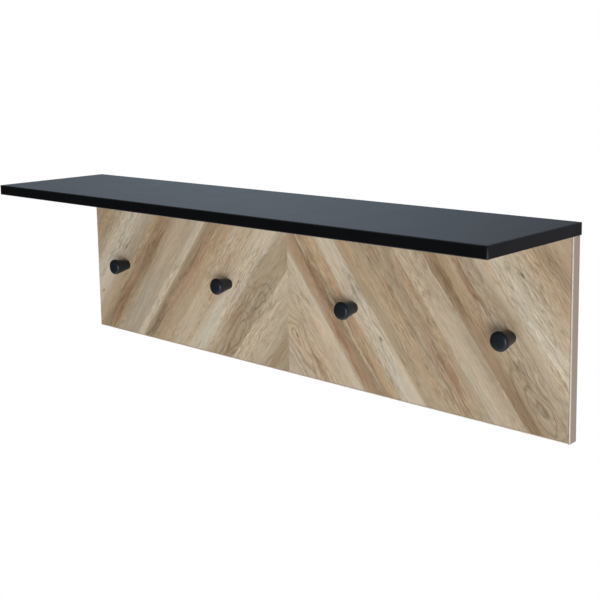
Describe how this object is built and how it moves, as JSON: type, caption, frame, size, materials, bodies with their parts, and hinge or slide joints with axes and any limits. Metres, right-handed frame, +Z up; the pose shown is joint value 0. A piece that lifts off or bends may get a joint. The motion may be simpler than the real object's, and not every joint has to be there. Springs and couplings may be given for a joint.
{
  "type": "wall hook rack",
  "caption": "Wall-hung coat rack: a black edge-banded shelf on a chevron-oak back panel with round tapered coat pegs.",
  "frame": {"origin": "middle of the back panel's rear face, which lies on the wall", "axes": "+X along the rack's length, +Y into the wall along the wall face's normal, +Z up; the shelf and the pegs stand out towards -Y"},
  "size_m": [0.9, 0.195, 0.26],
  "materials": {
    "black_melamine": "satin black melamine face on 15 mm furniture board",
    "black_edging": "black ABS edging, fine matte grain",
    "chipboard": "raw chipboard in the bores, plain oak-toned melamine on the rear face",
    "oak_laminate": "printed oak chevron laminate, matte with a fine pore",
    "taupe_edging": "taupe ABS edging, matte",
    "black_lacquer": "satin black lacquer",
    "zinc_steel": "bright zinc plate",
    "die_cast_zinc": "raw die-cast zinc alloy",
    "beech": "plain unfinished beech"
  },
  "bodies": {
    "root": {"shelf_board": "black_melamine", "shelf_edge_front": "black_edging", "shelf_edge_left": "black_edging", "shelf_edge_right": "black_edging", "back_panel": "chipboard", "front_laminate": "oak_laminate", "panel_edge_left": "taupe_edging", "panel_edge_right": "taupe_edging", "panel_edge_bottom": "taupe_edging", "peg_1": "black_lacquer", "peg_2": "black_lacquer", "peg_3": "black_lacquer", "peg_4": "black_lacquer", "peg_screw_1": "zinc_steel", "peg_screw_2": "zinc_steel", "peg_screw_3": "zinc_steel", "peg_screw_4": "zinc_steel", "cam_lock_1": "die_cast_zinc", "cam_lock_2": "die_cast_zinc", "cam_lock_3": "die_cast_zinc", "cam_lock_4": "die_cast_zinc", "cam_bolt_1": "zinc_steel", "cam_bolt_2": "zinc_steel", "cam_bolt_3": "zinc_steel", "cam_bolt_4": "zinc_steel", "dowel_1": "beech", "dowel_2": "beech", "dowel_3": "beech", "hanger_plate_left": "zinc_steel", "hanger_plate_right": "zinc_steel", "hanger_screw_1": "zinc_steel", "hanger_screw_2": "zinc_steel", "hanger_screw_3": "zinc_steel", "hanger_screw_4": "zinc_steel"}
  },
  "joints": []
}
